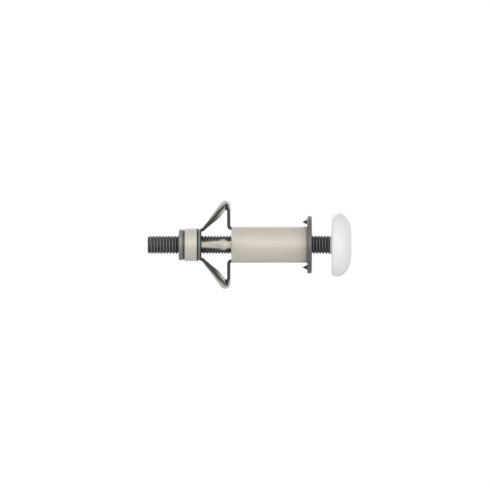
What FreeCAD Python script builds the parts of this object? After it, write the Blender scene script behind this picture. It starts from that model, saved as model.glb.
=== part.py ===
import FreeCAD, Part
import math
import os

# A metal hollow wall anchor in its set state, in millimetres.
# X runs along the anchor from the rear nut to the screw head, and Z is up.
# X = 0 is the back face of the flange plate.

# Sleeve: one slotted tube whose legs are folded outwards at the rear
sheet = 0.95
barrel_radius = 5.9
grip_length = 25.05
lip_flare = 0.45

# Rear band of the sleeve, closed around the nut
band_radius = 5.35
band_length = 5.3
band_edge = 0.15
bead_depth = 0.25
bead_floor = 0.6
bead_slope = 0.2
bead_from_front = 0.55

# Legs: strips that leave the band, fold back and join the barrel. They keep
# the tube's curve at both ends and are pressed to a deeper gutter at the fold.
# The gutter takes shape over the form length and is gone over the flatten length.
leg_count = 4
leg_run = 9.65
leg_tip_radius = 14.4
leg_neck_width = 2.4
leg_fold_width = 3.6
slot_corner_radius = 0.5
ridge_radius = 1.2
wing_angle = 45.0
fold_room = 0.2
fold_pinch = 0.15
form_length = 5.5
flatten_length = 1.7
collar_bend_radius = 0.6
root_bend_radius = 0.3
trim_allowance = 0.1

# Flange plate with its barbs
flange_radius = 9.4
flange_thickness = 1.5
flange_edge = 0.25
barb_count = 2
barb_rim_gap = 1.2
barb_lip_gap = 0.25
barb_length = 1.6
barb_thickness = 1.0
barb_bend_radius = 0.3

# Nut held in the rear band
nut_front_lip = 0.2
nut_rim_radius = 5.1
nut_rim_length = 1.25
nut_rim_round = 0.45
nut_neck_length = 0.75
nut_neck_radius = 4.9
nut_mouth = 0.45
thread_clearance = 0.07

# Screw
screw_radius = 2.98
screw_length = 60.0
screw_tip_chamfer = 0.5
head_gap = 6.4
head_radius = 10.4
head_height = 6.55
head_back_round = 1.9
head_back_step = 1.0
head_flat_radius = 3.9
underhead_round = 0.4

# Cross recess in the front of the head
recess_depth = 3.6
recess_span = 7.4
recess_floor_span = 3.4
recess_wing = 1.5
recess_floor_wing = 1.05
recess_core = 3.9
recess_floor_core = 2.6
recess_point = 0.9

# Places along the axis that follow from the sizes above
band_front = -grip_length - leg_run
band_rear = band_front - band_length
bead_middle = band_front - bead_from_front
barrel_rear = -grip_length + root_bend_radius
nut_front = bead_middle + bead_floor / 2 + bead_slope + nut_front_lip
rim_front = band_rear - nut_neck_length
rim_rear = rim_front - nut_rim_length
nut_bore_radius = screw_radius + thread_clearance
head_back = flange_thickness + head_gap
head_front = head_back + head_height
screw_tip = head_back - screw_length

# The barbs stand between the sleeve's flared lip and the plate's rim
lip_end_radius = barrel_radius + lip_flare
barb_inside = lip_end_radius + barb_lip_gap
barb_outside = flange_radius - barb_rim_gap
barb_radius = (barb_inside + barb_outside) / 2

# How far a cutting shape runs past the face that it enters
cut_margin = 1.0

# Parts that the curve of a rounded quarter is worked out in
ellipse_steps = 8

axis_start = FreeCAD.Vector(0, 0, 0)
along_x = FreeCAD.Vector(1, 0, 0)
tangent = FreeCAD.Vector(0, 1, 0)


def at(x, r):
    # A point of the plane that holds the axis and points up
    return FreeCAD.Vector(x, 0, r)


def line(a, b):
    return Part.LineSegment(a, b).toShape()


def arc(a, middle, b):
    return Part.Arc(a, middle, b).toShape()


def quarter_ellipse(centre, half_x, half_r, start, stop):
    # Points of an ellipse about the given centre, joined by one smooth curve
    points = []
    for i in range(ellipse_steps + 1):
        turn = math.radians(start + (stop - start) * i / ellipse_steps)
        x = centre.x + half_x * math.cos(turn)
        r = centre.z + half_r * math.sin(turn)
        points.append(at(x, r))
    curve = Part.BSplineCurve()
    curve.interpolate(points)
    return curve.toShape()


def turned(edges):
    # A closed outline spun once around the axis
    face = Part.Face(Part.Wire(edges))
    return face.revolve(axis_start, along_x, 360)


def turned_polygon(corners):
    points = [at(x, r) for x, r in corners]
    points.append(points[0])
    return turned([line(a, b) for a, b in zip(points, points[1:])])


def around(shape, count):
    # Copies of a shape at equal turns about the axis
    copies = []
    for i in range(count):
        copy = shape.copy()
        copy.rotate(axis_start, along_x, 360.0 * i / count)
        copies.append(copy)
    return copies


def bead_outline(r, floor_half):
    # The rolled bead seen from one side of the sheet, front to rear
    return [
        (bead_middle + floor_half + bead_slope, r),
        (bead_middle + floor_half, r - bead_depth),
        (bead_middle - floor_half, r - bead_depth),
        (bead_middle - floor_half - bead_slope, r),
    ]


def barrel():
    # Plain tube with its front end flared into the flange plate
    return turned_polygon([
        (barrel_rear, barrel_radius),
        (0, barrel_radius),
        (flange_thickness, lip_end_radius),
        (flange_thickness, lip_end_radius - sheet),
        (0, barrel_radius - sheet),
        (barrel_rear, barrel_radius - sheet),
    ])


def rear_band():
    # Tube around the nut, with one bead rolled into the nut's groove
    outside = [(band_front, band_radius)]
    outside += bead_outline(band_radius, bead_floor / 2)
    outside.append((band_rear + band_edge, band_radius))
    outside.append((band_rear, band_radius - band_edge))
    inside = [(band_front, band_radius - sheet)]
    inside += bead_outline(band_radius - sheet, bead_floor / 2)
    inside.append((band_rear, band_radius - sheet))
    inside.reverse()
    return turned_polygon(outside + inside)


def arch_drop(radius, half_width):
    # How far an arch of this radius falls from its top at this half width
    return radius - math.sqrt(radius ** 2 - half_width ** 2)


def gutter_drop(radius, half_width):
    # The same for a gutter: a rounded ridge with a straight wing on each side
    wing = math.radians(wing_angle)
    ridge = radius * math.sin(wing)
    if half_width <= ridge:
        return arch_drop(radius, half_width)
    return arch_drop(radius, ridge) + (half_width - ridge) * math.tan(wing)


swept_half_width = leg_fold_width / 2 + trim_allowance
ridge_outside = ridge_radius * math.sin(math.radians(wing_angle))
ridge_inside = (ridge_radius - sheet) * math.sin(math.radians(wing_angle))

# The fold is bent as tightly as the height of its wings leaves room for
fold_depth = gutter_drop(ridge_radius, swept_half_width) + fold_room
fold_radius = fold_depth + fold_pinch


class Section:
    # Cross section of a leg, square to a path that runs at the given angle.
    # The crown is the point of the path, and depth is counted inwards from it.

    def __init__(self, crown, turn):
        self.crown = crown
        self.inward = FreeCAD.Vector(math.sin(turn), 0, -math.cos(turn))

    def spot(self, side, depth):
        return self.crown + tangent * side + self.inward * depth

    def tube_part(self, radius, depth, a, b):
        # Arc of the tube's own curve between two places across the strip
        middle = (a + b) / 2
        ends = [self.spot(y, depth + arch_drop(radius, abs(y))) for y in (a, middle, b)]
        return arc(ends[0], ends[1], ends[2])

    def tube(self, radius):
        # Strip with the tube's curve, in three parts across like the gutter
        half = swept_half_width
        inner = radius - sheet
        outer_edge = self.spot(half, arch_drop(radius, half))
        inner_edge = self.spot(half, sheet + arch_drop(inner, half))
        outer_start = self.spot(-half, arch_drop(radius, half))
        inner_end = self.spot(-half, sheet + arch_drop(inner, half))
        return Part.Wire([
            self.tube_part(radius, 0, -half, -ridge_outside),
            self.tube_part(radius, 0, -ridge_outside, ridge_outside),
            self.tube_part(radius, 0, ridge_outside, half),
            line(outer_edge, inner_edge),
            self.tube_part(inner, sheet, half, ridge_inside),
            self.tube_part(inner, sheet, ridge_inside, -ridge_inside),
            self.tube_part(inner, sheet, -ridge_inside, -half),
            line(inner_end, outer_start),
        ])

    def gutter_places(self, radius, depth, edge):
        ridge = radius * math.sin(math.radians(wing_angle))
        drop = depth + gutter_drop(radius, ridge)
        edge_drop = depth + gutter_drop(radius, edge)
        return [
            self.spot(-edge, edge_drop),
            self.spot(-ridge, drop),
            self.spot(0, depth),
            self.spot(ridge, drop),
            self.spot(edge, edge_drop),
        ]

    def gutter(self):
        # Rounded ridge and two straight wings, all of the sheet's thickness
        half = swept_half_width
        out = self.gutter_places(ridge_radius, 0, half)
        into = self.gutter_places(ridge_radius - sheet, sheet, half)
        return Part.Wire([
            line(out[0], out[1]),
            arc(out[1], out[2], out[3]),
            line(out[3], out[4]),
            line(out[4], into[4]),
            line(into[4], into[3]),
            arc(into[3], into[2], into[1]),
            line(into[1], into[0]),
            line(into[0], out[0]),
        ])

    def pinched_gutter(self):
        # The gutter with its wings pressed flat where the fold leaves no room
        half = swept_half_width
        inner = ridge_radius - sheet
        slope = math.tan(math.radians(wing_angle))
        ridge_floor = sheet + gutter_drop(inner, ridge_inside)
        reach = ridge_inside + (fold_depth - ridge_floor) / slope
        out = self.gutter_places(ridge_radius, 0, half)
        into = self.gutter_places(inner, sheet, reach)
        return Part.Wire([
            line(out[0], out[1]),
            arc(out[1], out[2], out[3]),
            line(out[3], out[4]),
            line(out[4], self.spot(half, fold_depth)),
            line(self.spot(half, fold_depth), into[4]),
            line(into[4], into[3]),
            arc(into[3], into[2], into[1]),
            line(into[1], into[0]),
            line(into[0], self.spot(-half, fold_depth)),
            line(self.spot(-half, fold_depth), out[0]),
        ])


def leg_path():
    # Crown path of one leg. The straight back of the leg is the line that
    # touches the bend at the band on one side and the fold on the other.
    collar_centre = at(band_front, band_radius + collar_bend_radius)
    fold_centre = at(-grip_length - fold_radius, leg_tip_radius - fold_radius)
    across = fold_centre - collar_centre
    rise = math.atan2(across.z, across.x)
    lean = math.asin((collar_bend_radius + fold_radius) / across.Length)
    turn = rise + lean
    outward = FreeCAD.Vector(-math.sin(turn), 0, math.cos(turn))
    forward = FreeCAD.Vector(math.cos(turn), 0, math.sin(turn))
    collar_end = collar_centre - outward * collar_bend_radius
    return {
        "turn": turn,
        "collar_centre": collar_centre,
        "collar_start": at(band_front, band_radius),
        "collar_end": collar_end,
        "formed": collar_end + forward * form_length,
        "fold_centre": fold_centre,
        "fold_start": fold_centre + outward * fold_radius,
        "fold_end": at(-grip_length, leg_tip_radius - fold_radius),
        "flattened": at(-grip_length, leg_tip_radius - fold_radius - flatten_length),
        "root_start": at(-grip_length, barrel_radius + root_bend_radius),
        "root_centre": at(barrel_rear, barrel_radius + root_bend_radius),
    }


def bend(section, centre, direction, turn):
    face = Part.Face(section)
    return face.revolve(centre, direction, math.degrees(turn))


def straight(first, last):
    return Part.makeLoft([first, last], True, True)


def slot_corner(corner_x, half_width):
    # Rounded end of the slot beside a leg, from the tube's edge to the leg's side
    r = slot_corner_radius
    spread = r * (1 - math.sqrt(0.5))
    tube_edge = FreeCAD.Vector(corner_x, half_width + r, 0)
    middle = FreeCAD.Vector(corner_x + spread, half_width + spread, 0)
    leg_side = FreeCAD.Vector(corner_x + r, half_width, 0)
    return tube_edge, middle, leg_side


def mirrored(edges):
    # The same edges on the other side of the leg's middle plane
    return [edge.mirror(axis_start, tangent) for edge in edges]


def closed_plan(edges):
    # Half an outline and its mirror image, joined by straight ends
    first = edges[0].firstVertex().Point
    last = edges[-1].lastVertex().Point
    other_first = FreeCAD.Vector(first.x, -first.y, 0)
    other_last = FreeCAD.Vector(last.x, -last.y, 0)
    ends = [line(first, other_first), line(last, other_last)]
    wire = Part.Wire(Part.__sortEdges__(edges + mirrored(edges) + ends))
    return Part.Face(wire)


def leg_plan():
    # Outline of a leg seen from outside: rounded slot corners, a width that
    # grows towards the fold, and a sharp cut back beside it
    neck = leg_neck_width / 2
    widest = leg_fold_width / 2
    fold_x = -grip_length - fold_radius
    narrow_x = fold_x + widest - neck
    tube_edge, middle, leg_side = slot_corner(band_front, neck)
    fold_spot = FreeCAD.Vector(fold_x, widest, 0)
    narrow_spot = FreeCAD.Vector(narrow_x, neck, 0)
    edges = [
        line(tube_edge - along_x * cut_margin, tube_edge),
        arc(tube_edge, middle, leg_side),
        line(leg_side, fold_spot),
        line(fold_spot, narrow_spot),
        line(narrow_spot, FreeCAD.Vector(barrel_rear + cut_margin, neck, 0)),
    ]
    return closed_plan(edges).extrude(FreeCAD.Vector(0, 0, leg_tip_radius + cut_margin))


def behind(x):
    # The room behind a place along the axis, wider and higher than a leg
    width = leg_fold_width + 2 * cut_margin
    corner = FreeCAD.Vector(x - leg_run, -width / 2, 0)
    return Part.makeBox(leg_run, width, leg_tip_radius + cut_margin, corner)


def leg():
    # The wings of the front leaf end where they meet those of the rear leaf
    path = leg_path()
    turn = path["turn"]
    back = math.radians(-90)
    at_band = Section(path["collar_start"], 0).tube(band_radius)
    after_band = Section(path["collar_end"], turn).tube(band_radius)
    formed = Section(path["formed"], turn).gutter()
    before_fold = Section(path["fold_start"], turn).gutter()
    fold_start = Section(path["fold_start"], turn).pinched_gutter()
    after_fold = Section(path["fold_end"], back).gutter()
    flattened = Section(path["flattened"], back).tube(barrel_radius)
    at_root = Section(path["root_start"], back).tube(barrel_radius)
    front_leaf = straight(after_fold, flattened).cut(behind(path["fold_centre"].x))
    pieces = [
        bend(at_band, path["collar_centre"], -tangent, turn),
        straight(after_band, formed),
        straight(formed, before_fold),
        bend(fold_start, path["fold_centre"], tangent, turn - back),
        front_leaf,
        straight(flattened, at_root),
        bend(at_root, path["root_centre"], -tangent, -back),
    ]
    strip = pieces[0].fuse(pieces[1:])
    return strip.common(leg_plan())


def make_sleeve():
    legs = around(leg(), leg_count)
    return barrel().fuse([rear_band()] + legs).removeSplitter()


def barb_tongue():
    # A strip bent back from the plate, cut to a triangle with its point at the rear
    bend_centre = FreeCAD.Vector(-barb_bend_radius, 0, 0)
    outer = barb_bend_radius + barb_thickness
    inner_x = bend_centre + FreeCAD.Vector(barb_bend_radius, 0, 0)
    outer_x = bend_centre + FreeCAD.Vector(outer, 0, 0)
    diagonal = math.sqrt(0.5)
    mid_inner = bend_centre + FreeCAD.Vector(diagonal, diagonal, 0) * barb_bend_radius
    mid_outer = bend_centre + FreeCAD.Vector(diagonal, diagonal, 0) * outer
    turned_inner = bend_centre + FreeCAD.Vector(0, barb_bend_radius, 0)
    turned_outer = bend_centre + FreeCAD.Vector(0, outer, 0)
    tip_inner = FreeCAD.Vector(-barb_length, turned_inner.y, 0)
    tip_outer = FreeCAD.Vector(-barb_length, turned_outer.y, 0)
    start_inner = inner_x - FreeCAD.Vector(0, barb_bend_radius, 0)
    start_outer = outer_x - FreeCAD.Vector(0, barb_bend_radius, 0)
    outline = Part.Wire([
        line(start_inner, inner_x),
        arc(inner_x, mid_inner, turned_inner),
        line(turned_inner, tip_inner),
        line(tip_inner, tip_outer),
        line(tip_outer, turned_outer),
        arc(turned_outer, mid_outer, outer_x),
        line(outer_x, start_outer),
        line(start_outer, start_inner),
    ])
    strip = Part.Face(outline).extrude(FreeCAD.Vector(0, 0, barb_outside - barb_inside))
    strip.translate(FreeCAD.Vector(0, 0, barb_inside))
    cutter_points = [
        at(flange_thickness, barb_inside),
        at(0, barb_inside),
        at(-barb_length, barb_radius),
        at(0, barb_outside),
        at(flange_thickness, barb_outside),
    ]
    cutter_points.append(cutter_points[0])
    side_view = Part.Face(Part.makePolygon(cutter_points))
    side_view.translate(-tangent * cut_margin)
    return strip.common(side_view.extrude(tangent * (outer + 2 * cut_margin)))


def barb_window():
    # The triangular hole that the tongue was cut from
    outer = barb_bend_radius + barb_thickness
    reach = outer + barb_length
    behind = -cut_margin
    points = [
        FreeCAD.Vector(behind, 0, barb_inside),
        FreeCAD.Vector(behind, outer, barb_inside),
        FreeCAD.Vector(behind, reach, barb_radius),
        FreeCAD.Vector(behind, outer, barb_outside),
        FreeCAD.Vector(behind, 0, barb_outside),
    ]
    points.append(points[0])
    face = Part.Face(Part.makePolygon(points))
    return face.extrude(along_x * (flange_thickness + 2 * cut_margin))


def make_flange_plate():
    plate = turned_polygon([
        (0, barrel_radius),
        (0, flange_radius - flange_edge),
        (flange_edge, flange_radius),
        (flange_thickness - flange_edge, flange_radius),
        (flange_thickness, flange_radius - flange_edge),
        (flange_thickness, lip_end_radius),
    ])
    plate = plate.cut(around(barb_window(), barb_count))
    return plate.fuse(around(barb_tongue(), barb_count)).removeSplitter()


def make_nut():
    # Threaded insert: a rounded rear rim, a narrow neck and a body that fills the band
    body_radius = band_radius - sheet
    mouth = nut_bore_radius + nut_mouth
    groove = bead_outline(body_radius, bead_floor / 2)
    outline = [(nut_front, mouth), (nut_front, body_radius)]
    outline += groove
    outline.append((band_rear, body_radius))
    outline.append((band_rear, nut_neck_radius))
    outline.append((rim_front, nut_neck_radius))
    outline.append((rim_front, nut_rim_radius))
    outline.append((rim_rear + nut_rim_round, nut_rim_radius))
    points = [at(x, r) for x, r in outline]
    edges = [line(a, b) for a, b in zip(points, points[1:])]
    round_centre = at(rim_rear + nut_rim_round, nut_rim_radius - nut_rim_round)
    diagonal = nut_rim_round * math.sqrt(0.5)
    round_middle = round_centre + at(-diagonal, diagonal)
    round_end = at(rim_rear, nut_rim_radius - nut_rim_round)
    edges.append(arc(points[-1], round_middle, round_end))
    inside = [
        round_end,
        at(rim_rear, mouth),
        at(rim_rear + nut_mouth, nut_bore_radius),
        at(nut_front - nut_mouth, nut_bore_radius),
        points[0],
    ]
    edges += [line(a, b) for a, b in zip(inside, inside[1:])]
    return turned(edges)


def cross_outline(x, span, wing):
    # A plus sign across the axis
    far = span / 2
    near = wing / 2
    quarter = [(far, -near), (far, near), (near, near)]
    points = []
    for i in range(4):
        turn = math.radians(90 * i)
        for y, z in quarter:
            turned_y = y * math.cos(turn) - z * math.sin(turn)
            turned_z = y * math.sin(turn) + z * math.cos(turn)
            points.append(FreeCAD.Vector(x, turned_y, turned_z))
    points.append(points[0])
    return Part.makePolygon(points)


def widened(floor_size, top_size):
    # Size that a tapered recess has at the cutting shape's upper end
    return top_size + (top_size - floor_size) * cut_margin / recess_depth


def cross_recess():
    # Four tapered wings around a tapered core that ends in a conical point
    floor = head_front - recess_depth
    above = head_front + cut_margin
    top_span = widened(recess_floor_span, recess_span)
    top_wing = widened(recess_floor_wing, recess_wing)
    top = cross_outline(above, top_span, top_wing)
    bottom = cross_outline(floor, recess_floor_span, recess_floor_wing)
    wings = Part.makeLoft([bottom, top], True, True)
    top_core = widened(recess_floor_core, recess_core) / 2
    floor_core = recess_floor_core / 2
    core = Part.makeCone(floor_core, top_core, above - floor, at(floor, 0), along_x)
    point_start = at(floor - recess_point, 0)
    point = Part.makeCone(0, floor_core, recess_point, point_start, along_x)
    return wings.fuse([core, point])


def make_screw():
    # Domed head with a fully rounded rim, and a straight shank
    rim_x = head_back + head_back_round
    dome_centre = at(rim_x, head_flat_radius)
    dome_height = head_front - rim_x
    dome_reach = head_radius - head_flat_radius
    back_centre = at(rim_x, head_radius - head_back_step)
    dome = quarter_ellipse(dome_centre, dome_height, dome_reach, 90, 0)
    back = quarter_ellipse(back_centre, head_back_round, head_back_step, 180, 90)
    fillet_start = at(head_back - underhead_round, screw_radius)
    fillet_end = at(head_back, screw_radius + underhead_round)
    spread = underhead_round * (1 - math.sqrt(0.5))
    fillet_middle = at(head_back - spread, screw_radius + spread)
    tip = at(screw_tip, 0)
    tip_edge = at(screw_tip, screw_radius - screw_tip_chamfer)
    shank_end = at(screw_tip + screw_tip_chamfer, screw_radius)
    head_seat_edge = at(head_back, head_radius - head_back_step)
    front_edge = at(head_front, head_flat_radius)
    edges = [
        line(tip, tip_edge),
        line(tip_edge, shank_end),
        line(shank_end, fillet_start),
        arc(fillet_start, fillet_middle, fillet_end),
        line(fillet_end, head_seat_edge),
        back,
        dome,
        line(front_edge, at(head_front, 0)),
        line(at(head_front, 0), tip),
    ]
    return turned(edges).cut(cross_recess())


def save(shape, name):
    solid = shape.Solids[0]
    solid.exportStep("parts/" + name + ".step")
    print(name, len(shape.Solids), solid.isValid(), round(solid.Volume, 2), solid.BoundBox)


os.makedirs("parts", exist_ok=True)
save(make_sleeve(), "sleeve")
save(make_flange_plate(), "flange_plate")
save(make_nut(), "nut")
save(make_screw(), "screw")
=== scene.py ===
import math

import bmesh
import bpy
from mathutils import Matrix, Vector


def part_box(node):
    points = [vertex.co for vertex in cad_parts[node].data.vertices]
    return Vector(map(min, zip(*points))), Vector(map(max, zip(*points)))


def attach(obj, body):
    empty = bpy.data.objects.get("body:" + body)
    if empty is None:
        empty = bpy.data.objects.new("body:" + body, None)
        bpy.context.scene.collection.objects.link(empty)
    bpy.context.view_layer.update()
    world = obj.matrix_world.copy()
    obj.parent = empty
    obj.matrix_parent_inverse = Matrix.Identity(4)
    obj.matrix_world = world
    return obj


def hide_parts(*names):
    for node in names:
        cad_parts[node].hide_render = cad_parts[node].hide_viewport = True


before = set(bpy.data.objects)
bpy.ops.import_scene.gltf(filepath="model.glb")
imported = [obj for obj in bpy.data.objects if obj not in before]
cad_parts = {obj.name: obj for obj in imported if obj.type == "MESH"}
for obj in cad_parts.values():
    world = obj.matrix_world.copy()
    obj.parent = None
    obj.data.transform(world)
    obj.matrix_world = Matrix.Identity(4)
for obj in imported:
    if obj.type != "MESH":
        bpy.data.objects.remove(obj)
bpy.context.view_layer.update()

# Lengths are in metres. The anchor's axis is X, the screw head is its +X end and Z is up.
MM = 0.001
scene = bpy.context.scene


# Sizes

# Screw sizes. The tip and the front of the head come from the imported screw.
screw_low, screw_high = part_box("screw")
tip_x = screw_low[0]
head_front_x = screw_high[0]
head_radius = screw_high[2]
head_height = 6.55 * MM
head_back_round = 1.9 * MM
head_back_step = 1.0 * MM
head_flat_radius = 3.9 * MM
head_back_x = head_front_x - head_height
underhead_round = 0.4 * MM
major_radius = 2.98 * MM
thread_depth = 0.4 * MM
pitch = 1.0 * MM
tip_chamfer = 0.5 * MM
minor_radius = major_radius - thread_depth

# Slots between the legs, from the sleeve's rear band to the barrel, with a cut-back at the fold
slot_rear_x = -34.7 * MM
slot_front_x = -24.75 * MM
slot_corner = 0.5 * MM
notch_rear_x = -26.8 * MM
notch_front_x = -26.2 * MM

# Middle of a leg's cut edge seen from the side, as (x, height over the axis) in millimetres, from
# the band up to the fold, and the same from the barrel up to the fold
rear_leaf_middle = [(-34.7, 4.9), (-33.7, 5.2), (-29.6, 9.0), (-26.7, 12.6)]
front_leaf_middle = [(-25.6, 11.0), (-26.4, 12.7)]

# Rolled bead that holds the nut in the rear band
bead_rear_x = -35.75 * MM
bead_front_x = -34.75 * MM

# Narrow neck between the sleeve and the nut's rim
neck_rear_x = -40.75 * MM
neck_front_x = -40.0 * MM


# Wear, and painted shade and highlights

# Tones of cut metal, and of painted shade and highlights, as shares of its plain colour
torn_dark = 0.04
sheared_dark = 0.05
sheared_grey = 0.62
# Painted shade on the legs' wings, deeper low down than near the fold, and painted highlight on
# their ridges
wing_painted_shade_low = 0.15
wing_painted_shade_high = 0.7
ridge_painted_highlight = 1.15
# Painted shade along the bead's edges and on its floor
bead_line_shade = 0.06
bead_floor_shade = 0.4
barb_dark = 0.3
# Painted shade on the nut's neck
neck_painted_shade = 0.45
# Painted highlight on the thread's crests
crest_painted_highlight = 2.3

# Where the painted shade on the outer part of a leg's wing starts, from the leg's middle line:
# this far out at the axis, and further out by this share of the height over it. It sets in
# around that start.
wing_start = 0.42 * MM
wing_spread = 0.05
wing_ease = (-0.05 * MM, 0.25 * MM)

# Heights over the axis between which the wings and the ridges come nearer to the plain colour
wing_heights = (11.2 * MM, 13 * MM)
ridge_heights = (6 * MM, 12.5 * MM)

# The sheared half of a cut edge turns from dark to grey between these heights, and back to dark
# between these places at the fold
grey_heights = (8 * MM, 10.5 * MM)
grey_places = (-27.0 * MM, -26.4 * MM)

# Limits for the squared cosines that say which way the surface faces: a leg's cut edge faces
# sideways, a slot's end faces along the axis or sideways, and a wing faces less sideways
edge_sideways = (0.76, 0.84)
end_level = (0.88, 0.94)
wing_sideways = (0.55, 0.7)

# Painted shade lines along the bead's rear and front edge: how far each reaches to either side of
# it
rear_line = (-0.4 * MM, 0.2 * MM)
front_line = (-0.25 * MM, 0.35 * MM)

# Widths over which one tone passes into the next
leg_ease = 0.5 * MM
line_ease = 0.1 * MM
floor_ease = 0.15 * MM
neck_ease = 0.1 * MM
torn_ease = 0.08 * MM

# How far the tones of the slots' edges reach past the slots' own places
slot_margin = 0.05 * MM

# Places over which the dark barbs pass into the flange plate's plain colour
barb_places = (-0.15 * MM, -0.02 * MM)

# Outer share of the thread's depth that gets a painted highlight
highlight_share = 0.3


# What all finishes share

# Noise: its scale for clouds, its detail, the range that its values fill, how much stronger the
# grain's tones are than the clouds', and how much the roughness changes
cloud_scale = 260
noise_detail = 3
noise_range = (0.3, 0.7)
streak_gain = 1.6
roughness_change = 0.06

# Crevices: how open a place is, from full shade to none
open_range = (0.35, 0.95)
crevice_samples = 8

# Softened edges and the grain's relief
edge_softness = 0.1 * MM
edge_samples = 4
grain_strength = 0.25
grain_height = 0.02 * MM


class Graph:
    # The nodes of a material or of the world, and the steps that they are built from

    def __init__(self, tree):
        self.nodes = tree.nodes
        self.links = tree.links

    def new(self, kind):
        return self.nodes.new("ShaderNode" + kind)

    def feed(self, sockets, values):
        # A value is another node's output, or a plain number or vector
        for socket, value in zip(sockets, values):
            if isinstance(value, bpy.types.NodeSocket):
                self.links.new(value, socket)
            else:
                socket.default_value = value

    def combine(self, operation, first, *others):
        # Arithmetic on values, from left to right
        result = first
        for other in others:
            step = self.new("Math")
            step.operation = operation
            self.feed(step.inputs, (result, other))
            result = step.outputs[0]
        return result

    def product(self, *values):
        return self.combine("MULTIPLY", *values)

    def absolute(self, value):
        step = self.new("Math")
        step.operation = "ABSOLUTE"
        self.feed(step.inputs, [value])
        return step.outputs[0]

    def vector_step(self, operation, *values, output="Vector"):
        step = self.new("VectorMath")
        step.operation = operation
        self.feed(step.inputs, values)
        return step.outputs[output]

    def parts(self, vector):
        # The X, Y and Z parts of a vector
        split = self.new("SeparateXYZ")
        self.links.new(vector, split.inputs[0])
        return split.outputs["X"], split.outputs["Y"], split.outputs["Z"]

    def remap(self, value, source, target):
        ranged = self.new("MapRange")
        ranged.inputs["From Min"].default_value = source[0]
        ranged.inputs["From Max"].default_value = source[1]
        ranged.inputs["To Min"].default_value = target[0]
        ranged.inputs["To Max"].default_value = target[1]
        self.links.new(value, ranged.inputs["Value"])
        return ranged.outputs["Result"]

    def toned(self, mask, tone):
        # 1 where the mask is 0, and the tone where the mask is 1
        return self.remap(mask, (0, 1), (1, tone))

    def between(self, value, low, high, ease):
        # 1 inside a range and 0 outside it, with soft ends
        rise = self.remap(value, (low, low + ease), (0, 1))
        fall = self.remap(value, (high - ease, high), (1, 0))
        return self.product(rise, fall)

    def noise(self, stretch, scale):
        # Noise at a place on the piece in metres, stretched along each axis
        place = self.new("TexCoord")
        mapping = self.new("Mapping")
        mapping.inputs["Scale"].default_value = stretch
        self.links.new(place.outputs["Object"], mapping.inputs["Vector"])
        texture = self.new("TexNoise")
        texture.inputs["Scale"].default_value = scale
        texture.inputs["Detail"].default_value = noise_detail
        self.links.new(mapping.outputs["Vector"], texture.inputs["Vector"])
        return texture.outputs["Fac"]

    def varied(self, noise, middle, change):
        # Values around a middle one that follow the noise
        return self.remap(noise, noise_range, (middle - change, middle + change))

    def scaled(self, colour, factor):
        tint = self.new("VectorMath")
        tint.operation = "SCALE"
        tint.inputs[0].default_value = colour
        self.links.new(factor, tint.inputs["Scale"])
        return tint.outputs["Vector"]


class Spot:
    # Values that say where a point of a piece is and which way its surface faces

    def __init__(self, graph):
        place = graph.new("TexCoord")
        point, normal = place.outputs["Object"], place.outputs["Normal"]
        x, y, z = graph.parts(point)
        normal_x = graph.parts(normal)[0]
        around = graph.vector_step("CROSS_PRODUCT", (1, 0, 0), point)
        unit = graph.vector_step("NORMALIZE", around)
        turn = graph.vector_step("DOT_PRODUCT", unit, normal, output="Value")
        up = graph.absolute(z)
        across = graph.absolute(y)
        self.x = x
        self.radius = graph.vector_step("LENGTH", around, output="Value")
        # On the legs: how high over the axis, and how far out from a leg's middle line
        self.height = graph.combine("MAXIMUM", up, across)
        self.lateral = graph.combine("MINIMUM", up, across)
        # Squared cosines: 1 where the surface faces around the axis, and where it faces along it
        self.sideways = graph.product(turn, turn)
        self.endways = graph.product(normal_x, normal_x)


# Tones of each piece's cut places, and its painted shade and highlights, as factors for its
# colour

def sleeve_tone(graph):
    spot = Spot(graph)
    return graph.product(
        bead_tone(graph, spot), leg_tone(graph, spot), slot_edge_tone(graph, spot))


def bead_tone(graph, spot):
    # Painted shade: dark lines along both sides of the rolled bead, and a darker floor
    lines = [
        graph.between(spot.x, edge_x + low, edge_x + high, line_ease)
        for edge_x, (low, high) in ((bead_rear_x, rear_line), (bead_front_x, front_line))
    ]
    edge_shade = graph.toned(graph.combine("MAXIMUM", *lines), bead_line_shade)
    floor = graph.toned(graph.between(spot.x, bead_rear_x, bead_front_x, floor_ease), bead_floor_shade)
    return graph.combine("MINIMUM", floor, edge_shade)


def leg_tone(graph, spot):
    # Painted highlight along the ridges and painted shade on the wings' outer parts, both least
    # at the fold
    on_legs = graph.between(spot.x, slot_rear_x, slot_front_x, leg_ease)
    bright = graph.remap(spot.height, ridge_heights, (ridge_painted_highlight - 1, 0))
    ridge = graph.combine("ADD", graph.product(on_legs, bright), 1)
    spread = graph.product(spot.height, wing_spread)
    beyond = graph.combine("SUBTRACT", spot.lateral, spread)
    outer = graph.remap(beyond, (wing_start + wing_ease[0], wing_start + wing_ease[1]), (0, 1))
    not_edge = graph.remap(spot.sideways, wing_sideways, (1, 0))
    lost = graph.remap(spot.height, wing_heights, (1 - wing_painted_shade_low, 1 - wing_painted_shade_high))
    wing = graph.toned(graph.product(outer, not_edge, on_legs, lost), 0)
    return graph.product(ridge, wing)


def slot_edge_tone(graph, spot):
    # The slots were punched after plating, so their edges are bare: beside the legs, in the
    # cut-backs and at the slots' ends
    on_legs = graph.between(
        spot.x, slot_rear_x - slot_margin, slot_front_x + slot_margin, slot_margin / 2)
    beside = graph.product(on_legs, graph.remap(spot.sideways, edge_sideways, (0, 1)))
    edge_share = graph.product(beside, leg_edge_tone(graph, spot))
    tone = graph.combine("ADD", graph.toned(beside, 0), edge_share)
    return graph.combine("MINIMUM", tone, slot_end_tone(graph, spot))


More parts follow.
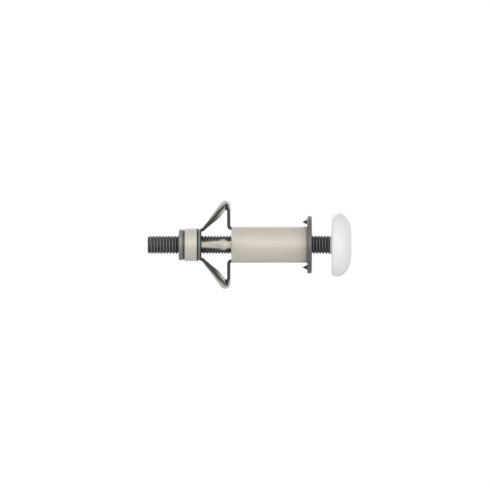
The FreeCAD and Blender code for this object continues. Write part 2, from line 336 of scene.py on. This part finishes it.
def leg_edge_tone(graph, spot):
    # The outer half of a leg's cut edge is torn and dark. The inner half is sheared smooth: dark
    # near the band and in front of the fold, and grey on the rear strip near the fold.
    high = graph.remap(spot.height, grey_heights, (0, 1))
    behind = graph.remap(spot.x, grey_places, (1, 0))
    sheared = graph.remap(graph.product(high, behind), (0, 1), (sheared_dark, sheared_grey))
    torn = torn_part(graph, spot)
    inner = graph.product(graph.toned(torn, 0), sheared)
    outer = graph.remap(torn, (0, 1), (0, torn_dark))
    return graph.combine("MAXIMUM", inner, outer)


def slot_end_tone(graph, spot):
    # The slots' two ends and the cut-backs are torn and dark all over
    places = [
        (slot_rear_x, slot_rear_x + slot_corner),
        (notch_rear_x, notch_front_x),
        (slot_front_x, slot_front_x),
    ]
    ends = [
        graph.between(spot.x, low - slot_margin, high + slot_margin, slot_margin / 2)
        for low, high in places
    ]
    level = graph.combine("ADD", spot.sideways, spot.endways)
    at_ends = graph.product(
        graph.combine("MAXIMUM", *ends), graph.remap(level, end_level, (0, 1)))
    return graph.toned(at_ends, torn_dark)


def torn_part(graph, spot):
    # 1 on the outer half of a leg's cut edge and 0 on the inner half
    rises = [
        graph.remap(spot.x, (x_low * MM, x_high * MM), (0, (high - low) * MM))
        for (x_low, low), (x_high, high) in zip(rear_leaf_middle, rear_leaf_middle[1:])
    ]
    middle = graph.combine("ADD", rear_leaf_middle[0][1] * MM, *rises)
    above = graph.combine("SUBTRACT", spot.height, middle)
    (x_low, low), (x_high, high) = front_leaf_middle
    front = graph.remap(spot.height, (low * MM, high * MM), (x_low * MM, x_high * MM))
    before = graph.combine("SUBTRACT", spot.x, front)
    outside = graph.combine("MAXIMUM", above, before)
    return graph.remap(outside, (-torn_ease, torn_ease), (0, 1))


def neck_tone(graph):
    # The nut's neck lies in the shade between the sleeve and the rim; that shade is painted dark
    neck = graph.between(Spot(graph).x, neck_rear_x, neck_front_x, neck_ease)
    return graph.toned(neck, neck_painted_shade)


def barb_tone(graph):
    # The barbs stick out behind the plate and are darker all over
    return graph.remap(Spot(graph).x, barb_places, (barb_dark, 1))


def crest_tone(graph):
    # The thread's crests get a painted highlight
    highlight_from = major_radius - highlight_share * thread_depth
    return graph.remap(Spot(graph).radius, (highlight_from, major_radius), (1, crest_painted_highlight))


# Finishes

def plated_steel(name, colour, metallic, roughness, grain, shade, stretch=(1, 1, 1),
                 mottle=0.03, tone_of=None, reach=1.6 * MM):
    # Clouds in the plating, a fine grain, soft edges, and shade in crevices up to the reach
    material = bpy.data.materials.new(name)
    material.use_nodes = True
    graph = Graph(material.node_tree)
    surface = graph.nodes["Principled BSDF"]
    clouds = graph.noise((1, 1, 1), cloud_scale)
    fine = graph.noise(stretch, grain)
    occlusion = graph.new("AmbientOcclusion")
    occlusion.inputs["Distance"].default_value = reach
    occlusion.samples = crevice_samples
    factor = graph.product(
        graph.varied(clouds, 1, mottle),
        graph.varied(fine, 1, streak_gain * mottle),
        graph.remap(occlusion.outputs["AO"], open_range, (shade, 1)))
    if tone_of:
        factor = graph.product(factor, tone_of(graph))
    edge = graph.new("Bevel")
    edge.inputs["Radius"].default_value = edge_softness
    edge.samples = edge_samples
    relief = graph.new("Bump")
    relief.inputs["Strength"].default_value = grain_strength
    relief.inputs["Distance"].default_value = grain_height
    graph.links.new(fine, relief.inputs["Height"])
    graph.links.new(edge.outputs["Normal"], relief.inputs["Normal"])
    rough = graph.varied(fine, roughness, roughness_change)
    graph.links.new(graph.scaled(colour, factor), surface.inputs["Base Color"])
    graph.links.new(rough, surface.inputs["Roughness"])
    graph.links.new(relief.outputs["Normal"], surface.inputs["Normal"])
    surface.inputs["Metallic"].default_value = metallic
    return material


# The sleeve's grain is drawn out along the tube
sleeve_steel = plated_steel(
    "sleeve_zinc", (0.63, 0.585, 0.52), metallic=0.25, roughness=0.5, grain=4200, shade=0.16,
    stretch=(0.05, 1, 1), tone_of=sleeve_tone, reach=0.8 * MM)
flange_steel = plated_steel(
    "flange_zinc", (0.14, 0.135, 0.13), metallic=0.4, roughness=0.42, grain=2600, shade=0.3,
    tone_of=barb_tone)
nut_steel = plated_steel(
    "nut_zinc", (0.26, 0.25, 0.235), metallic=0.4, roughness=0.42, grain=2600, shade=0.2,
    tone_of=neck_tone)
thread_steel = plated_steel(
    "thread_steel", (0.08, 0.077, 0.082), metallic=0.3, roughness=0.55, grain=3000, shade=0.08,
    tone_of=crest_tone)
head_steel = plated_steel(
    "head_white", (0.92, 0.92, 0.91), metallic=0, roughness=0.38, grain=5200, shade=0.4,
    mottle=0.008)


def wear(obj, material):
    obj.data.materials.clear()
    obj.data.materials.append(material)


def paint_node(node, material):
    # A piece that is kept as it was packed only gets its finish here
    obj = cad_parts[node]
    for slot in obj.material_slots:
        slot.material = material
    if not obj.material_slots:
        obj.data.materials.append(material)


paint_node("sleeve", sleeve_steel)
paint_node("flange_plate", flange_steel)
paint_node("nut", nut_steel)


# Mesh helpers

def object_from(name, bm):
    mesh = bpy.data.meshes.new(name)
    bm.to_mesh(mesh)
    bm.free()
    obj = bpy.data.objects.new(name, mesh)
    scene.collection.objects.link(obj)
    return obj


def add_piece(name, bm, material, body):
    obj = object_from(name, bm)
    wear(obj, material)
    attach(obj, body)
    return obj


def mark_sharp(bm, degrees):
    limit = math.radians(degrees)
    for edge in bm.edges:
        faces = edge.link_faces
        if len(faces) == 2 and faces[0].normal.angle(faces[1].normal, 0) > limit:
            edge.smooth = False


def vertex_around(bm, x, r, angle):
    return bm.verts.new((x, r * math.cos(angle), r * math.sin(angle)))


def spun(points, steps):
    # A profile of (x, radius) spun around the axis. Its first end is closed by a face, and its
    # last point lies on the axis.
    bm = bmesh.new()
    rings = []
    for x, r in points:
        if r == 0:
            rings.append([bm.verts.new((x, 0, 0))])
            continue
        rings.append([vertex_around(bm, x, r, 2 * math.pi * i / steps) for i in range(steps)])
    for a, b in zip(rings, rings[1:]):
        for i in range(steps):
            j = (i + 1) % steps
            if len(b) == 1:
                face = bm.faces.new((a[i], a[j], b[0]))
            else:
                face = bm.faces.new((a[i], a[j], b[j], b[i]))
            face.smooth = True
    bm.faces.new(list(reversed(rings[0])))
    bmesh.ops.recalc_face_normals(bm, faces=bm.faces)
    return bm


# Threaded shank

# Thread form over one pitch: (place along the pitch, share of the depth), with 60 degree flanks.
# It is shallow, with wide worn crests, and its corners are eased by a small share.
flank = thread_depth * math.tan(math.radians(30)) / pitch
crest = 1 / 4
root = 1 - crest - 2 * flank
corner = 0.08
thread_form = [
    (0, corner),
    (root / 4, 0),
    (root * 3 / 4, 0),
    (root, corner),
    (root + (1 - corner) * flank, 1 - corner),
    (root + flank + corner * crest, 1),
    (root + flank + (1 - corner) * crest, 1),
    (root + flank + crest + corner * flank, 1 - corner),
]
thread_columns = 72
thread_sharp_degrees = 28
weld_distance = 1e-5 * MM
cut_tolerance = 1e-6 * MM


def thread_radius(x, share):
    # The thread runs out on the chamfered tip
    cone = major_radius - tip_chamfer + (x - tip_x)
    return min(minor_radius + thread_depth * share, max(cone, minor_radius / 2))


def thread_mesh():
    # One strip wound around the axis: each turn joins the next one a pitch further on. It starts
    # before the tip and ends inside the head, so that both ends can be cut square.
    bm = bmesh.new()
    first = tip_x - 2 * pitch
    turns = math.ceil((head_back_x - first) / pitch) + 2
    rows = turns * len(thread_form)
    grid = []
    for row in range(rows + 1):
        turn, step = divmod(row, len(thread_form))
        place, share = thread_form[step]
        ring = []
        for column in range(thread_columns + 1):
            around = column / thread_columns
            x = first + (turn + place + around) * pitch
            r = thread_radius(x, share)
            ring.append(vertex_around(bm, x, r, 2 * math.pi * around))
        grid.append(ring)
    for lower, upper in zip(grid, grid[1:]):
        for column in range(thread_columns):
            corners = (lower[column], lower[column + 1], upper[column + 1], upper[column])
            bm.faces.new(corners).smooth = True
    bmesh.ops.remove_doubles(bm, verts=bm.verts, dist=weld_distance)
    return bm


def cut_and_cap(bm, x, keep_front):
    # Cuts the strip square to the axis and closes the cut
    geometry = bm.verts[:] + bm.edges[:] + bm.faces[:]
    cut = bmesh.ops.bisect_plane(
        bm, geom=geometry, dist=cut_tolerance, plane_co=(x, 0, 0), plane_no=(1, 0, 0),
        clear_inner=keep_front, clear_outer=not keep_front)
    rim = [e for e in cut["geom_cut"] if isinstance(e, bmesh.types.BMEdge)]
    bmesh.ops.contextual_create(bm, geom=rim)


def make_shank():
    shank = thread_mesh()
    cut_and_cap(shank, tip_x, True)
    cut_and_cap(shank, head_back_x + underhead_round / 2, False)
    bmesh.ops.recalc_face_normals(shank, faces=shank.faces)
    mark_sharp(shank, thread_sharp_degrees)
    piece = add_piece("screw_shank", shank, thread_steel, "screw")
    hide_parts("screw")


# Domed head

# Cross recess in the head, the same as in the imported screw
recess_depth = 3.6 * MM
recess_span = 7.4 * MM
recess_floor_span = 3.4 * MM
recess_wing = 1.5 * MM
recess_floor_wing = 1.05 * MM
recess_core = 3.9 * MM
recess_floor_core = 2.6 * MM
recess_point = 0.9 * MM
point_radius = 0.02 * MM
cut_margin = 0.5 * MM

# Points of the head's profile and steps around it
fillet_steps = 5
rim_steps = 12
dome_steps = 26
head_steps = 144
core_steps = 48

# Soft edges of the head and its recess
head_sharp_degrees = 30
head_edge_width = 0.08 * MM
head_edge_segments = 2
head_edge_degrees = 40


def quarter(centre_x, centre_r, half_x, half_r, start, stop, steps):
    # Points of an ellipse between two angles, counted from the +X side
    points = []
    for i in range(steps + 1):
        turn = math.radians(start + (stop - start) * i / steps)
        points.append((centre_x + half_x * math.cos(turn), centre_r + half_r * math.sin(turn)))
    return points


def head_profile():
    # From the shank over the underside and the rim to the front
    rim_x = head_back_x + head_back_round
    fillet_x = head_back_x - underhead_round
    fillet_r = major_radius + underhead_round
    points = [(fillet_x, minor_radius)]
    points += quarter(
        fillet_x, fillet_r, underhead_round, underhead_round, -90, 0, fillet_steps)
    points += quarter(
        rim_x, head_radius - head_back_step, head_back_round, head_back_step, 180, 90, rim_steps)
    dome = quarter(
        rim_x, head_flat_radius, head_front_x - rim_x, head_radius - head_flat_radius, 90, 0,
        dome_steps)
    points += dome[1:]
    points.append((head_front_x, 0))
    return points


def widened(floor_size, top_size):
    # Size that the tapered recess would have a little above the head's front
    return top_size + (top_size - floor_size) * cut_margin / recess_depth


def cross_ring(span, wing):
    # Corners of a cross, as (y, z)
    far, near = span / 2, wing / 2
    points = []
    for i in range(4):
        turn = math.radians(90 * i)
        for y, z in ((far, -near), (far, near), (near, near)):
            points.append((y * math.cos(turn) - z * math.sin(turn),
                           y * math.sin(turn) + z * math.cos(turn)))
    return points


def tapered(floor_x, top_x, floor_ring, top_ring):
    bm = bmesh.new()
    low = [bm.verts.new((floor_x, y, z)) for y, z in floor_ring]
    high = [bm.verts.new((top_x, y, z)) for y, z in top_ring]
    for i in range(len(low)):
        j = (i + 1) % len(low)
        bm.faces.new((low[i], low[j], high[j], high[i]))
    bm.faces.new(list(reversed(low)))
    bm.faces.new(high)
    bmesh.ops.recalc_face_normals(bm, faces=bm.faces)
    return bm


def carve(target, cutter):
    # Cuts one shape out of another for good, and removes the cutter
    modifier = target.modifiers.new("cut", "BOOLEAN")
    modifier.operation = "DIFFERENCE"
    modifier.solver = "EXACT"
    modifier.object = cutter
    bpy.context.view_layer.update()
    evaluated = target.evaluated_get(bpy.context.evaluated_depsgraph_get())
    mesh = bpy.data.meshes.new_from_object(evaluated)
    target.modifiers.clear()
    target.data = mesh
    bpy.data.objects.remove(cutter)


def make_head():
    profile = spun(head_profile(), head_steps)
    head = add_piece("screw_head", profile, head_steel, "screw")
    floor_x = head_front_x - recess_depth
    above_x = head_front_x + cut_margin
    floor_ring = cross_ring(recess_floor_span, recess_floor_wing)
    above_ring = cross_ring(
        widened(recess_floor_span, recess_span), widened(recess_floor_wing, recess_wing))
    wings = tapered(floor_x, above_x, floor_ring, above_ring)
    core = spun([
        (floor_x - recess_point, point_radius),
        (floor_x, recess_floor_core / 2),
        (above_x, widened(recess_floor_core, recess_core) / 2),
        (above_x, 0),
    ], core_steps)
    carve(head, object_from("cut_wings", wings))
    carve(head, object_from("cut_core", core))
    wear(head, head_steel)
    bm = bmesh.new()
    bm.from_mesh(head.data)
    bm.normal_update()
    mark_sharp(bm, head_sharp_degrees)
    bm.to_mesh(head.data)
    bm.free()
    soften = head.modifiers.new("soft_edges", "BEVEL")
    soften.width = head_edge_width
    soften.segments = head_edge_segments
    soften.limit_method = "ANGLE"
    soften.angle_limit = math.radians(head_edge_degrees)


make_shank()
make_head()


# Floor, world and lamps. The floor lies well below the anchor, and the lamps point at the
# anchor's middle.

middle_x = -0.02
floor_z = -0.1
floor_radius = 0.6
floor_lift = 0.3
world_light = 0.48


def floor_material():
    # Pale and matt. What the camera sees is lifted to white, and the shadow stays.
    material = bpy.data.materials.new("floor")
    material.use_nodes = True
    graph = Graph(material.node_tree)
    surface = graph.nodes["Principled BSDF"]
    surface.inputs["Base Color"].default_value = (0.9, 0.9, 0.9, 1)
    surface.inputs["Roughness"].default_value = 0.9
    surface.inputs["Specular IOR Level"].default_value = 0.0
    surface.inputs["Emission Color"].default_value = (1, 1, 1, 1)
    path = graph.new("LightPath")
    lift = graph.remap(path.outputs["Is Camera Ray"], (0, 1), (0, floor_lift))
    graph.links.new(lift, surface.inputs["Emission Strength"])
    return material


def make_floor():
    bm = bmesh.new()
    bmesh.ops.create_circle(bm, cap_ends=True, segments=96, radius=floor_radius)
    floor = object_from("floor", bm)
    floor.location = (middle_x, 0, floor_z)
    wear(floor, floor_material())


def make_world():
    # White where it is seen, mirrored or looked through, and dimmer as a light
    world = bpy.data.worlds.new("studio")
    scene.world = world
    world.use_nodes = True
    graph = Graph(world.node_tree)
    path = graph.new("LightPath")
    rays = ("Is Camera Ray", "Is Glossy Ray", "Is Transmission Ray")
    seen = graph.combine("MAXIMUM", *[path.outputs[ray] for ray in rays])
    background = graph.nodes["Background"]
    background.inputs["Color"].default_value = (1, 1, 1, 1)
    strength = graph.remap(seen, (0, 1), (world_light, 1))
    graph.links.new(strength, background.inputs["Strength"])


def soft_light(name, place, size, power):
    # A square soft lamp that points at the anchor
    aim = Vector((middle_x, 0, 0))
    lamp = bpy.data.lights.new(name, "AREA")
    lamp.shape = "SQUARE"
    lamp.size = size
    lamp.energy = power
    obj = bpy.data.objects.new(name, lamp)
    obj.location = place
    obj.rotation_mode = "QUATERNION"
    obj.rotation_quaternion = (aim - Vector(place)).to_track_quat("-Z", "Y")
    scene.collection.objects.link(obj)


make_floor()
make_world()
soft_light("key", place=(-0.25, -1.0, 0.05), size=1.6, power=7.9)
soft_light("fill", place=(0.7, -0.7, 0.0), size=0.8, power=2.4)
soft_light("back", place=(-0.4, 0.9, 0.35), size=0.9, power=4.4)


# Camera square to the anchor's side, far off so that the view is nearly parallel
camera_data = bpy.data.cameras.new("camera")
camera_data.lens = 600
camera_data.sensor_width = 36
camera_data.clip_start = 0.05
camera_data.clip_end = 20
camera = bpy.data.objects.new("camera", camera_data)
scene.collection.objects.link(camera)
scene.camera = camera
view_width = 160.2 * MM
view_centre = (-20.3 * MM, -0.1 * MM)
distance = view_width * camera_data.lens / camera_data.sensor_width
camera.location = (view_centre[0], -distance, view_centre[1])
camera.rotation_euler = (math.radians(90), 0, 0)

scene.view_settings.view_transform = "Standard"
